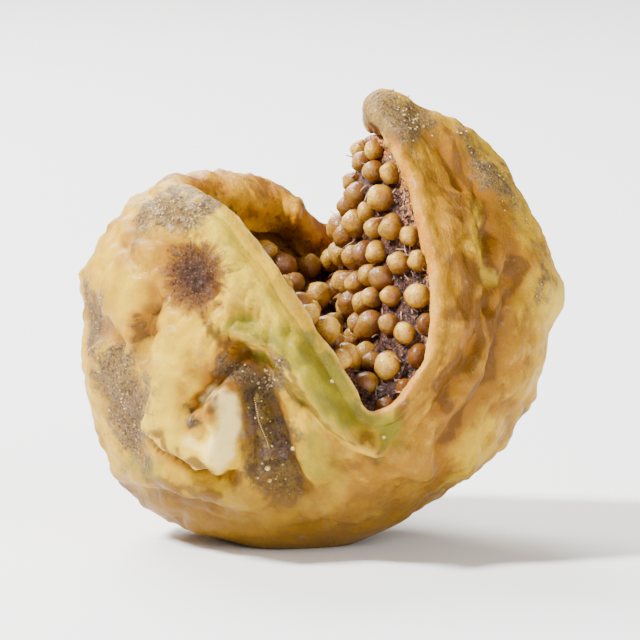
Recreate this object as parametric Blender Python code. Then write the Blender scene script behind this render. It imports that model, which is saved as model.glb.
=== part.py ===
"""A dried fig, about 32 mm across, split open from its eye so that the seeds inside it show.

The fig lies as it does in a bowl: the split opens upwards and towards the front, the stalk end is
low at the back, and the foot is pressed flat. Two solids: the leathery wall, and the pulp that
fills it, with the seeds that stand out of the pulp along the split.

The frame is +Z up, the front is -Y, and the origin is under the middle of the fig, on the surface
that it lies on. Lengths below are in millimetres and become metres when a mesh is finished.
"""

import math
import random

import bmesh
import bpy
import numpy as np
from mathutils import Vector, noise
from mathutils.bvhtree import BVHTree

MM = 0.001


def unit(v):
    v = np.asarray(v, dtype=float)
    return v / np.linalg.norm(v, axis=-1, keepdims=True)


# The middle of the finished fig, from above, in the coordinates that the shape is drawn in.
MIDDLE = np.array((0.51, -0.185, 0.0))

# The plump form before it splits: the point that radii are measured from, and the half sizes.
CENTRE = np.array((0.0, 0.0, 15.0))
HALF_SIZES = np.array((16.0, 13.6, 15.7))
STALK_END = unit((0.22, 0.86, -0.42))
FOOT = unit((0.11, 0.13, -0.98))

# Where the plump form swells or sinks: direction from the centre, height, and spread in radians.
SWELLINGS = (
    ((0.78, 0.05, 0.62), 1.2, 0.42),
    ((0.45, 0.00, -0.90), -0.9, 0.34),
    ((-0.80, -0.10, -0.60), 0.7, 0.42),
    ((-0.95, -0.10, 0.35), 0.6, 0.30),
    ((-0.50, 0.00, 0.86), -0.6, 0.40),
    ((-0.05, 0.02, -1.00), 0.5, 0.30),
)

# The stub of the stalk: its height, its half width in radians, and how far its root spreads.
STALK = (2.4, 0.09, 0.14)

# The edge of the split, from its lowest point at the front, up the right lobe to its tip, down
# behind to the notch at the back, and round the left lobe to the front again. Each row is x, y, z,
# the thickness of the wall's lip, and how far below the edge the pulp begins. Where that is less
# than nothing, the pulp stands out past the wall.
RIM = np.array((
    (4.2, -12.8, 10.4, 1.5, 1.3),
    (6.7, -12.2, 12.1, 1.4, 1.2),
    (8.1, -11.2, 14.7, 1.4, 1.2),
    (8.5, -9.8, 18.5, 1.5, 1.2),
    (7.9, -7.6, 22.3, 1.5, 1.2),
    (6.5, -4.7, 26.4, 1.5, 1.2),
    (5.3, -2.7, 29.4, 2.0, 1.5),
    (3.9, -0.4, 30.8, 2.6, 1.8),
    (3.9, 2.1, 30.3, 2.2, 0.8),
    (4.5, 5.0, 28.6, 1.7, -0.5),
    (4.5, 7.8, 24.2, 1.5, -0.9),
    (3.0, 9.7, 20.4, 1.6, -0.2),
    (0.8, 10.1, 21.0, 2.4, 2.4),
    (-1.6, 9.4, 23.7, 3.6, 4.4),
    (-4.8, 7.3, 25.2, 4.5, 5.4),
    (-7.8, 3.9, 25.5, 4.2, 5.2),
    (-9.4, 0.2, 25.3, 3.4, 4.5),
    (-8.6, -5.0, 25.3, 2.0, 3.0),
    (-5.6, -8.8, 24.0, 1.8, 2.0),
    (-3.2, -10.8, 21.4, 1.8, 1.6),
    (-0.8, -12.1, 18.0, 1.8, 1.5),
    (1.9, -12.9, 13.8, 1.7, 1.4),
))
RIM_STEPS = 40  # points on the edge's curve between two rows

# Where things lie along a meridian. The shoulder is NEAR_RIM outside the edge, and heights are 0 at
# the foot, 1 at the shoulder and 2 at the edge. Each pair is where a change begins and ends.
NEAR_RIM = 3.0
MEAN_RADIUS = 14.0  # of the whole fig, which turns a length along a meridian into a height
GIRTH = 0.55
EDGE_LIFTS_BODY = (0.35, 1.25)
FOLDS_FADE = (1.45, 1.85)
WRINKLES_FADE = (0.3, 1.3)
THICKENS_FROM = 0.6
PULP_MEETS_EDGE = (0.9, 1.4)

# How far down a ray points, as its own z, where the folds fade towards the foot.
FOOT_SMOOTH = (-0.95, -0.80)

# The wall's thickness, the gap that keeps the pulp clear of it, and how much further the pulp has
# shrunk from it away from the edge.
WALL = 2.0
GAP = 0.3
SHRINKAGE = 0.4

# Folds that show from the front, a little above level: their height, their half width, and the
# x and height of the points that they run through in that view.
FRONT_TILT = math.radians(8)
FACING_FRONT = (-0.1, 0.3)
FRONT_FOLDS = (
    (-1.3, 1.7, ((-8.3, 18.3), (-8.2, 18.0))),
    (0.9, 1.5, ((-8.3, 22.5), (-5.6, 19.4), (-3.2, 16.6), (-1.2, 13.4), (0.6, 10.3), (2.9, 8.0))),
    (-0.7, 0.8, ((-6.2, 15.8), (-4.2, 14.7), (-1.9, 13.9))),
    (1.0, 0.9, ((-4.8, 13.9), (-2.7, 13.5), (-0.9, 11.6), (1.2, 9.2), (3.4, 7.0), (7.3, 5.2))),
    (-1.5, 1.2, ((-4.5, 12.0), (-3.5, 8.9), (-1.9, 3.6))),
    (1.1, 1.1, ((-10.2, 11.6), (-9.9, 8.4), (-6.9, 6.6))),
    (-0.9, 0.6, ((-10.8, 6.9), (-9.2, 5.4), (-7.3, 4.7), (-5.6, 4.4))),
    (0.5, 0.7, ((-13.5, 4.6), (-10.4, 4.1), (-6.2, 3.4), (-4.2, 3.1))),
    (-0.6, 1.4, ((-12.7, 10.8), (-12.6, 8.2))),
    (-0.5, 0.6, ((-10.8, 15.8), (-11.2, 13.7), (-11.4, 12.7))),
    (-0.9, 0.8, ((-15.8, 16.2), (-14.6, 14.4))),
    (0.4, 0.8, ((-14.4, 13.8), (-15.2, 11.4), (-15.2, 8.3), (-14.4, 6.2))),
    (-0.6, 0.7, ((-5.0, 13.1), (-6.3, 11.4), (-7.7, 10.0))),
    (-0.6, 0.6, ((8.2, 27.9), (9.4, 26.6), (10.4, 24.6))),
    (-0.5, 0.8, ((10.6, 26.4), (12.0, 22.9), (12.2, 17.7), (10.8, 12.9), (8.3, 9.4))),
    (0.4, 1.1, ((9.6, 21.4), (9.8, 18.0), (9.4, 14.0), (7.4, 9.6))),
    (-0.5, 0.8, ((13.2, 23.0), (13.6, 17.0), (12.2, 11.0), (9.0, 6.4))),
)

# The wrinkles that run from the stalk end: their height, how many there are round the fig, how
# much they waver on their way, and what share of the height is taken off so that they sink as much
# as they rise. They begin some way from the stalk, in radians, and in front they are less high.
WRINKLES = (1.4, 14, 1.8, 0.45)
WRINKLES_BEGIN = (0.16, 0.56)
SMOOTH_FRONT = 0.5
BEHIND = (0.0, 0.6)

# Lumps all over: their height, and how closely they follow each other.
LUMPS = (0.5, 2.6)
DEEPEST_FOLD = 1.4

# The pulp: the line along the bottom of the split, half its width, how far the faces of the split
# are heaped towards its middle, and the thickness of the pulp's edge.
FLOOR_FRONT = np.array((4.0, -8.8, 10.9))
FLOOR_BACK = np.array((1.6, 7.0, 16.4))
FLOOR_HALF_WIDTH = 0.9
FLOOR_WIDENS_OVER = 1.0  # beyond this far to its side, the floor reaches its full width
SPLIT_MIDDLE = np.array((2.0, -1.0, 24.0))
PULP_HEAP = 0.6
PULP_EDGE = 0.7

# The seeds: the smallest and the largest radius, how much longer than round they are, how close
# two may come as a share of their radii, how many places are tried, and how far they stand out.
SEED_RADIUS = (0.74, 1.08)
SEED_LENGTH = 1.15
SEED_SPACING = 0.97
SEED_TRIES = 9000
SEED_PROUD = 0.2
FACE_LINES = 264  # lines down the faces of the split, with places for seeds along them
FACE_STEPS = 41

# The mesh: meridians round the fig, and rows along each stretch of a meridian.
WALL_MERIDIANS = 72
WALL_ROWS = {"outside": 20, "shoulder": 3, "lip": 4, "inside": 10}
PULP_MERIDIANS = 44
PULP_ROWS = {"outside": 9, "lip": 3, "face": 8, "floor": 2}


def between(a, b, share):
    """The direction that lies this share of the way round from direction a to direction b."""
    angle = np.arccos(np.clip(np.sum(a * b, axis=-1, keepdims=True), -1, 1))
    return (np.sin((1 - share) * angle) * a + np.sin(share * angle) * b) / np.sin(angle)


def ease(x, begin, end):
    """A smooth change from 0, where x is at or before its beginning, to 1 at its end."""
    share = np.clip((x - begin) / (end - begin), 0, 1)
    return share * share * (3 - 2 * share)


def shares(count):
    return [k / count for k in range(count)]


def closed_spline(points, count):
    """A smooth closed curve through the points, read at count even steps."""
    step = np.arange(count) * len(points) / count
    at = step.astype(int)
    f = (step - at)[:, None]
    a, b, c, d = (points[(at + k) % len(points)] for k in (-1, 0, 1, 2))
    return b + 0.5 * f * (c - a + f * (2 * a - 5 * b + 4 * c - d + f * (3 * (b - c) + d - a)))


def steps_along(line):
    return np.linalg.norm(np.roll(line, -1, axis=0) - line, axis=1)


def plump_radius(ray):
    """The radius of the unsplit form along each ray."""
    radius = 1 / np.linalg.norm(ray / HALF_SIZES, axis=1)
    for way, height, spread in SWELLINGS:
        radius = radius + height * np.exp((ray @ unit(way) - 1) / spread**2)
    return radius[:, None]


def in_metres(spot):
    """A place in the drawing, in millimetres, as a place in the finished fig."""
    return MM * Vector(spot - MIDDLE)


def stalk_stub(ray):
    height, half_width, spread = STALK
    polar = np.arccos(np.clip(ray @ STALK_END, -1, 1))
    return (height * (1 - ease(polar, half_width, half_width + spread)))[:, None]


def distance_to_line(spots, line):
    """How far each spot is from a line drawn through points, in the plane of the front view."""
    nearest = np.full(len(spots), np.inf)
    for start, end in zip(line[:-1], line[1:]):
        along = np.subtract(end, start)
        share = np.clip((spots - start) @ along / (along @ along), 0, 1)[:, None]
        nearest = np.minimum(nearest, np.linalg.norm(spots - start - share * along, axis=1))
    return nearest


def front_folds(ray, radius):
    """The height of the folds that show from the front."""
    toward = np.array((0, -math.cos(FRONT_TILT), math.sin(FRONT_TILT)))
    upward = np.array((0, math.sin(FRONT_TILT), math.cos(FRONT_TILT)))
    point = CENTRE + radius * ray
    spots = np.stack([point[:, 0], point @ upward], axis=1)
    total = np.zeros(len(ray))
    for height, half_width, line in FRONT_FOLDS:
        total += height * np.exp(-((distance_to_line(spots, line) / half_width) ** 2))
    return (total * ease(ray @ toward, *FACING_FRONT))[:, None]


def wrinkles(ray):
    """The height of the wrinkles that run from the stalk end towards the split."""
    height, count, waver, sunk = WRINKLES
    side = unit(np.cross(STALK_END, (0, 0, 1)))
    top = np.cross(side, STALK_END)
    polar = np.arccos(np.clip(ray @ STALK_END, -1, 1))
    around = np.arctan2(ray @ top, ray @ side)
    reach = count / (2 * math.pi)
    spots = np.stack([reach * np.cos(around), reach * np.sin(around), waver * polar], axis=1)
    rough = np.array([noise.noise(Vector(spot)) for spot in spots])
    share = SMOOTH_FRONT + (1 - SMOOTH_FRONT) * ease(ray[:, 1], *BEHIND)
    share *= ease(polar, *WRINKLES_BEGIN)
    return (height * share * (2 * np.abs(rough) - sunk))[:, None]


def lumps(ray):
    height, pitch = LUMPS
    return height * np.array([[noise.noise(Vector(pitch * spot))] for spot in ray])


class Meridians:
    """Lines from the foot to the edge of the split, evenly spread between the edge and the girth."""

    def __init__(self, count):
        fine = closed_spline(RIM, RIM_STEPS * len(RIM))
        along = np.roll(fine[:, :3], -RIM_STEPS, axis=0) - np.roll(fine[:, :3], RIM_STEPS, axis=0)
        fine = np.hstack([fine, along])
        girth = between(FOOT, unit(fine[:, :3] - CENTRE), GIRTH)
        steps = sum(line / line.sum() for line in (steps_along(fine[:, :3]), steps_along(girth)))
        run = np.append(0, np.cumsum(steps))
        wanted = np.arange(count) * run[-1] / count
        looped = np.vstack([fine, fine[:1]])
        rows = np.stack([np.interp(wanted, run, column) for column in looped.T], axis=1)
        self.count = count
        self.rim, self.lip, self.pulp_depth = rows[:, :3], rows[:, 3:4], rows[:, 4:5]
        along = rows[:, 5:]
        self.rim_ray = unit(self.rim - CENTRE)
        self.rim_radius = np.linalg.norm(self.rim - CENTRE, axis=1, keepdims=True)
        self.inward = unit(np.cross(self.rim_ray, along))
        self.lift = self.rim_radius - plump_radius(self.rim_ray)
        self.shoulder = self.ray_below(NEAR_RIM)
        self.far_length = MEAN_RADIUS * np.arccos(self.shoulder @ FOOT)[:, None]

    def ray_below(self, depth):
        """The direction of the point this far outside the edge, square to it."""
        angle = depth / self.rim_radius
        return unit(np.cos(angle) * self.rim_ray - np.sin(angle) * self.inward)

    def ray(self, height):
        height = np.broadcast_to(height, (self.count, 1))
        far = between(FOOT, self.shoulder, np.clip(height, 0, 1))
        return np.where(height < 1, far, self.ray_below((2 - height) * NEAR_RIM))

    def height_of(self, depth):
        """The height of the point this far below the edge."""
        far = 1 - (depth - NEAR_RIM) / self.far_length
        return np.where(depth < NEAR_RIM, 2 - depth / NEAR_RIM, far)

    def body_radius(self, height):
        """The outer radius without folds, which meets the edge's own radius at the shoulder."""
        ray = self.ray(height)
        near = ease(height, *EDGE_LIFTS_BODY)
        return plump_radius(ray) + self.lift * near + lumps(ray) * (1 - near)

    def outer_radius(self, height):
        ray = self.ray(height)
        body = self.body_radius(height)
        folds = front_folds(ray, body) + wrinkles(ray) * (1 - ease(height, *WRINKLES_FADE))
        share = ease(ray[:, 2:], *FOOT_SMOOTH) * (1 - ease(height, *FOLDS_FADE))
        folds = np.maximum(folds, -DEEPEST_FOLD) * share
        return body + folds + stalk_stub(ray)

    def inner_radius(self, height):
        turn = self.height_of(self.lip / 2)
        thick = WALL + (self.lip - WALL) * ease(height, THICKENS_FROM, turn)
        return self.body_radius(height) - thick

    def pulp_radius(self, height):
        shrunk = SHRINKAGE * (1 - ease(height, *PULP_MEETS_EDGE))
        return self.inner_radius(height) - GAP - shrunk

    def rings(self, radius, heights):
        return [CENTRE + radius(h) * self.ray(h) for h in heights]

    def turned_edge(self, depth, thickness, radius, turns):
        """The half round, this thick, that turns an outer surface over and down the inside."""
        height = self.height_of(depth + thickness / 2)
        ray = self.ray(height)
        up = unit(self.inward - np.sum(self.inward * ray, axis=1, keepdims=True) * ray)
        middle = CENTRE + (radius(height) - thickness / 2) * ray
        return [
            middle + thickness / 2 * (math.cos(math.pi * turn) * ray + math.sin(math.pi * turn) * up)
            for turn in turns
        ]


def wall_rings():
    """The rings of the wall, up its outside from the foot, over the lip and down its inside."""
    lines = Meridians(WALL_MERIDIANS)
    top = lines.height_of(lines.lip / 2)
    outside = shares(WALL_ROWS["outside"])[1:]
    shoulder = [1 + (top - 1) * s for s in shares(WALL_ROWS["shoulder"])]
    inside = [top * (1 - s) for s in shares(WALL_ROWS["inside"])]
    rings = lines.rings(lines.outer_radius, outside + shoulder)
    for ring in rings:
        ring[:, 2] = np.maximum(ring[:, 2], 0)
    rings += lines.turned_edge(0, lines.lip, lines.outer_radius, shares(WALL_ROWS["lip"]))
    return rings + lines.rings(lines.inner_radius, inside)


def pulp_face(lines, share):
    """A ring on the faces of the split: share 0 is the pulp's edge and 1 is the split's floor."""
    edge = lines.turned_edge(lines.pulp_depth, PULP_EDGE, lines.pulp_radius, [1])[0]
    front, back = lines.rim[:, 1].min(), lines.rim[:, 1].max()
    run = ((lines.rim[:, 1:2] - front) / (back - front)).clip(0, 1)
    floor = FLOOR_FRONT + run * (FLOOR_BACK - FLOOR_FRONT)
    side = lines.rim - floor
    side[:, 1:] = 0
    side = np.sign(side) * np.sqrt(np.abs(side) / (FLOOR_WIDENS_OVER + np.abs(side)))
    floor = floor + FLOOR_HALF_WIDTH * side * 4 * run * (1 - run)
    slope = floor - edge
    along = np.roll(edge, -1, axis=0) - np.roll(edge, 1, axis=0)
    facing = unit(np.cross(along, slope))
    facing *= np.sign(np.sum(facing * (SPLIT_MIDDLE - edge), axis=1, keepdims=True))
    return edge + share * slope + PULP_HEAP * math.sin(math.pi * share) * facing


def pulp_rings():
    """The rings of the pulp, up its outside from the foot, over its edge and down the split."""
    lines = Meridians(PULP_MERIDIANS)
    top = lines.height_of(lines.pulp_depth + PULP_EDGE / 2)
    outside = [top * s for s in shares(PULP_ROWS["outside"])[1:]]
    rings = lines.rings(lines.pulp_radius, outside)
    rings += lines.turned_edge(
        lines.pulp_depth, PULP_EDGE, lines.pulp_radius, shares(PULP_ROWS["lip"])
    )
    rings += [pulp_face(lines, s) for s in shares(PULP_ROWS["face"])]
    floor = pulp_face(lines, 1)
    middle = (FLOOR_FRONT + FLOOR_BACK) / 2
    rings += [floor + s * (middle - floor) for s in shares(PULP_ROWS["floor"])]
    return rings, middle


def closed_mesh(rings, first_end, last_end):
    """A sphere whose rows are moved on to the rings, and its poles on to the two ends."""
    rows, columns = len(rings) + 1, len(rings[0])
    bm = bmesh.new()
    bmesh.ops.create_uvsphere(bm, u_segments=columns, v_segments=rows, radius=1)
    for vert in bm.verts:
        row = round(math.acos(max(-1, min(1, -vert.co.z))) / math.pi * rows)
        column = round(math.atan2(vert.co.y, vert.co.x) / (2 * math.pi) * columns) % columns
        if row == 0:
            vert.co = in_metres(first_end)
        elif row == rows:
            vert.co = in_metres(last_end)
        else:
            vert.co = in_metres(rings[row - 1][column])
    bmesh.ops.triangulate(bm, faces=bm.faces)
    bmesh.ops.recalc_face_normals(bm, faces=bm.faces)
    return bm


def as_object(name, bm, material, collection):
    mesh = bpy.data.meshes.new(name)
    bm.to_mesh(mesh)
    bm.free()
    mesh.materials.append(material)
    mesh.shade_smooth()
    made = bpy.data.objects.new(name, mesh)
    collection.objects.link(made)
    return made


def principled(name, colour, roughness):
    material = bpy.data.materials.new(name)
    material.use_nodes = True
    shader = material.node_tree.nodes["Principled BSDF"]
    shader.inputs["Base Color"].default_value = (*colour, 1)
    shader.inputs["Roughness"].default_value = roughness
    shader.inputs["Metallic"].default_value = 0
    return material


def seed_places(near_wall):
    """The middle and radius of each seed, drawn over the faces of the split and kept apart."""
    draw = random.Random(4)
    lines = Meridians(FACE_LINES)
    faces = np.array([pulp_face(lines, s) for s in np.linspace(0, 1, FACE_STEPS)])
    down = np.gradient(faces, axis=0)
    along = np.roll(faces, -1, axis=1) - np.roll(faces, 1, axis=1)
    out = unit(np.cross(along, down))
    out *= np.sign(np.sum(out * (SPLIT_MIDDLE - faces), axis=2, keepdims=True))
    areas = np.linalg.norm(np.cross(along, down), axis=2).ravel()
    places = []
    for cell in draw.choices(range(areas.size), weights=areas, k=SEED_TRIES):
        row, column = divmod(cell, lines.count)
        radius = draw.uniform(*SEED_RADIUS)
        spot = faces[row, column] + SEED_PROUD * out[row, column]
        room = near_wall.find_nearest(in_metres(spot))[3] / MM - GAP
        radius = min(radius, room / SEED_LENGTH)
        if radius < SEED_RADIUS[0]:
            continue
        if all(np.linalg.norm(spot - p) > SEED_SPACING * (radius + r) for p, r in places):
            places.append((spot, radius))
    return places


def seeds(near_wall, material, collection):
    """One small rounded body for each seed, its root sunk in the pulp."""
    draw = random.Random(9)
    for number, (spot, radius) in enumerate(seed_places(near_wall)):
        bm = bmesh.new()
        bmesh.ops.create_icosphere(bm, subdivisions=1, radius=MM * radius)
        lean = Vector([draw.uniform(-1, 1) for _ in range(3)]).normalized()
        turn = lean.to_track_quat("Z", "X").to_matrix()
        for vert in bm.verts:
            vert.co.z *= SEED_LENGTH
            vert.co = turn @ vert.co + in_metres(spot)
        as_object(f"seed_{number}", bm, material, collection)


def join_seeds(pulp, collection):
    joint = pulp.modifiers.new("seeds", "BOOLEAN")
    joint.operation = "UNION"
    joint.operand_type = "COLLECTION"
    joint.collection = collection
    joint.solver = "EXACT"
    evaluated = pulp.evaluated_get(bpy.context.evaluated_depsgraph_get())
    joined = bpy.data.meshes.new_from_object(evaluated)
    pulp.modifiers.remove(joint)
    pulp.data = joined
    for seed in list(collection.objects):
        bpy.data.objects.remove(seed)
    bpy.data.collections.remove(collection)


def build():
    for old in list(bpy.data.objects):
        bpy.data.objects.remove(old)
    fig = bpy.data.collections.new("fig")
    loose_seeds = bpy.data.collections.new("loose_seeds")
    for collection in (fig, loose_seeds):
        bpy.context.scene.collection.children.link(collection)
    skin = principled("dried_skin", (0.62, 0.36, 0.10), 0.5)
    flesh = principled("seedy_pulp", (0.45, 0.22, 0.08), 0.4)

    foot_top = CENTRE + (plump_radius(FOOT[None])[0] - WALL) * FOOT
    on_surface = np.array((foot_top[0], foot_top[1], 0))
    wall = closed_mesh(wall_rings(), on_surface, foot_top)
    near_wall = BVHTree.FromBMesh(wall)
    as_object("wall", wall, skin, fig)

    rings, floor_middle = pulp_rings()
    pulp = as_object("seed_pulp", closed_mesh(rings, foot_top - GAP * FOOT, floor_middle), flesh, fig)
    seeds(near_wall, flesh, loose_seeds)
    bpy.context.view_layer.update()
    join_seeds(pulp, loose_seeds)


build()
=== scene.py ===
import math
import random

import bmesh
import bpy
import numpy as np
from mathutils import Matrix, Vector, noise
from mathutils.bvhtree import BVHTree


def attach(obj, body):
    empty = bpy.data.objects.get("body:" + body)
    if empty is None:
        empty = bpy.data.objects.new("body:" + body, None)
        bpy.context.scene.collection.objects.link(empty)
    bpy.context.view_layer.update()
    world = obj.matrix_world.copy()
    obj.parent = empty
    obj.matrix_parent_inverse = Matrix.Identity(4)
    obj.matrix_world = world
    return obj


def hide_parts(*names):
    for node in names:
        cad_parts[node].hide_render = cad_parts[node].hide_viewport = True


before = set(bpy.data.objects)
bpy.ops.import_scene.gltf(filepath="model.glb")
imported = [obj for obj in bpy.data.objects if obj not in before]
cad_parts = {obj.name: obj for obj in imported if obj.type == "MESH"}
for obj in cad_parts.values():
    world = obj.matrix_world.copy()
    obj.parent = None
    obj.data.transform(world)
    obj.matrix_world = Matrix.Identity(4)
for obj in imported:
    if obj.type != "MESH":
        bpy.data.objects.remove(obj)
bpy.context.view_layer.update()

# The camera and the room
# The fig is seen from the front, a little above level, through a long lens. It lies on a plain
# pale table in soft light that comes mostly from the upper left and from behind.
MM = 0.001
CAMERA_TILT = math.radians(8)
CAMERA_DISTANCE = 450 * MM
VIEW_WIDTH = 44 * MM
SENSOR_WIDTH = 36
LOOK_AT = Vector((0, 0, 15.2 * MM))
TOWARD_CAMERA = np.array((0, -math.cos(CAMERA_TILT), math.sin(CAMERA_TILT)))
UPWARD_IN_VIEW = np.array((0, math.sin(CAMERA_TILT), math.cos(CAMERA_TILT)))


def placed(name, data):
    made = bpy.data.objects.new(name, data)
    bpy.context.scene.collection.objects.link(made)
    return made


def aimed(name, data, place):
    """An object of the room, at its place and turned to face the fig."""
    made = placed(name, data)
    made.location = place
    made.rotation_euler = (LOOK_AT - Vector(place)).to_track_quat("-Z", "Y").to_euler()
    return made


def room_light(name, place, size, power):
    lamp = bpy.data.lights.new(name, "AREA")
    lamp.size = size
    lamp.energy = power
    aimed(name, lamp, place)


lens = bpy.data.cameras.new("camera")
lens.sensor_width = SENSOR_WIDTH
lens.lens = SENSOR_WIDTH * CAMERA_DISTANCE / VIEW_WIDTH
lens.clip_start = 10 * MM
bpy.context.scene.camera = aimed("camera", lens, LOOK_AT + CAMERA_DISTANCE * Vector(TOWARD_CAMERA))

room_light("key_light", (-0.28, -0.08, 0.34), 0.07, 6.8)
room_light("back_light", (-0.14, 0.34, 0.30), 0.26, 5.0)
room_light("front_fill", (0.26, -0.36, 0.22), 0.30, 2.0)

room = bpy.data.worlds.new("room")
bpy.context.scene.world = room
room.use_nodes = True
room.node_tree.nodes["Background"].inputs["Color"].default_value = (1.0, 0.99, 0.97, 1)
room.node_tree.nodes["Background"].inputs["Strength"].default_value = 0.42

TABLE_EDGE = 1.5
table_mesh = bpy.data.meshes.new("table_top")
corners = ((-1, -1, 0), (1, -1, 0), (1, 1, 0), (-1, 1, 0))
table_mesh.from_pydata([TABLE_EDGE * Vector(corner) for corner in corners], [], [(0, 1, 2, 3)])
table_top = placed("table_top", table_mesh)
table_paint = bpy.data.materials.new("table_paint")
table_paint.use_nodes = True
table_shader = table_paint.node_tree.nodes["Principled BSDF"]
table_shader.inputs["Base Color"].default_value = (0.90, 0.90, 0.89, 1)
table_shader.inputs["Roughness"].default_value = 0.7
table_mesh.materials.append(table_paint)

# The wall
# The leathery wall of the fruit: cream flesh under a thin yellow skin. As the fig dried it sank
# into folds and split from its eye, so its torn edges rolled over and its stalk end shrivelled.


def unit(v):
    v = np.asarray(v, dtype=float)
    return v / np.linalg.norm(v, axis=-1, keepdims=True)


# Its form is drawn in millimetres round CENTRE, and MIDDLE is the point that comes over the origin.
MIDDLE = np.array((0.51, -0.185, 0.0))
CENTRE = np.array((0.0, 0.0, 15.0))
HALF_SIZES = np.array((16.0, 13.6, 15.7))
STALK_END = unit((0.22, 0.86, -0.42))
FOOT = unit((0.11, 0.13, -0.98))

# Where the plump form swells or sinks: direction from the centre, height, and spread in radians.
SWELLINGS = (
    ((0.78, 0.05, 0.62), 1.2, 0.42),
    ((0.45, 0.00, -0.90), -0.9, 0.34),
    ((-0.80, -0.10, -0.60), 0.7, 0.42),
    ((-0.95, -0.10, 0.35), 0.6, 0.30),
    ((-0.50, 0.00, 0.86), -0.6, 0.40),
    ((-0.05, 0.02, -1.00), 0.5, 0.30),
)
STALK = (2.4, 0.09, 0.14)

# The edge of the split: x, y, z, the lip's thickness, and how far below the edge the pulp begins.
RIM = np.array((
    (4.2, -12.8, 10.4, 1.5, 1.3),
    (6.7, -12.2, 12.1, 1.4, 1.2),
    (8.1, -11.2, 14.7, 1.4, 1.2),
    (8.5, -9.8, 18.5, 1.5, 1.2),
    (7.9, -7.6, 22.3, 1.5, 1.2),
    (6.5, -4.7, 26.4, 1.5, 1.2),
    (5.3, -2.7, 29.4, 2.0, 1.5),
    (3.9, -0.4, 30.8, 2.6, 1.8),
    (3.9, 2.1, 30.3, 2.2, 0.8),
    (4.5, 5.0, 28.6, 1.7, -0.5),
    (4.5, 7.8, 24.2, 1.5, -0.9),
    (3.0, 9.7, 20.4, 1.6, -0.2),
    (0.8, 10.1, 21.0, 2.4, 2.4),
    (-1.6, 9.4, 23.7, 3.6, 4.4),
    (-4.8, 7.3, 25.2, 4.5, 5.4),
    (-7.8, 3.9, 25.5, 4.2, 5.2),
    (-9.4, 0.2, 25.3, 3.4, 4.5),
    (-8.6, -5.0, 25.3, 2.0, 3.0),
    (-5.6, -8.8, 24.0, 1.8, 2.0),
    (-3.2, -10.8, 21.4, 1.8, 1.6),
    (-0.8, -12.1, 18.0, 1.8, 1.5),
    (1.9, -12.9, 13.8, 1.7, 1.4),
))
RIM_STEPS = 40

# Heights along a meridian are 0 at the foot, 1 at the shoulder, which is NEAR_RIM outside the edge,
# and 2 at the edge. Each pair is where a change begins and ends.
NEAR_RIM = 3.0
MEAN_RADIUS = 14.0
GIRTH = 0.55
EDGE_LIFTS_BODY = (0.35, 1.25)
FOLDS_FADE = (1.45, 1.85)
WRINKLES_FADE = (0.3, 1.3)
CRINKLES_FADE = (1.5, 1.9)
THICKENS_FROM = 0.6
FOOT_SMOOTH = (-0.95, -0.80)
WALL = 2.0

# Folds that show from the front: their height, their half width, and the x and height of the
# points that they run through in that view. The first list is the large ones.
FACING_FRONT = (-0.1, 0.3)
FRONT_FOLDS = (
    (-1.3, 1.7, ((-8.3, 18.3), (-8.2, 18.0))),
    (0.9, 1.5, ((-8.3, 22.5), (-5.6, 19.4), (-3.2, 16.6), (-1.2, 13.4), (0.6, 10.3), (2.9, 8.0))),
    (-0.7, 0.8, ((-6.2, 15.8), (-4.2, 14.7), (-1.9, 13.9))),
    (1.0, 0.9, ((-4.8, 13.9), (-2.7, 13.5), (-0.9, 11.6), (1.2, 9.2), (3.4, 7.0), (7.3, 5.2))),
    (-1.5, 1.2, ((-4.5, 12.0), (-3.5, 8.9), (-1.9, 3.6))),
    (1.1, 1.1, ((-10.2, 11.6), (-9.9, 8.4), (-6.9, 6.6))),
    (-0.9, 0.6, ((-10.8, 6.9), (-9.2, 5.4), (-7.3, 4.7), (-5.6, 4.4))),
    (0.5, 0.7, ((-13.5, 4.6), (-10.4, 4.1), (-6.2, 3.4), (-4.2, 3.1))),
    (-0.6, 1.4, ((-12.7, 10.8), (-12.6, 8.2))),
    (-0.5, 0.6, ((-10.8, 15.8), (-11.2, 13.7), (-11.4, 12.7))),
    (-0.9, 0.8, ((-15.8, 16.2), (-14.6, 14.4))),
    (0.4, 0.8, ((-14.4, 13.8), (-15.2, 11.4), (-15.2, 8.3), (-14.4, 6.2))),
    (-0.6, 0.7, ((-5.0, 13.1), (-6.3, 11.4), (-7.7, 10.0))),
    (-0.6, 0.6, ((8.2, 27.9), (9.4, 26.6), (10.4, 24.6))),
    (-0.5, 0.8, ((10.6, 26.4), (12.0, 22.9), (12.2, 17.7), (10.8, 12.9), (8.3, 9.4))),
    (0.4, 1.1, ((9.6, 21.4), (9.8, 18.0), (9.4, 14.0), (7.4, 9.6))),
    (-0.5, 0.8, ((13.2, 23.0), (13.6, 17.0), (12.2, 11.0), (9.0, 6.4))),
)

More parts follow.
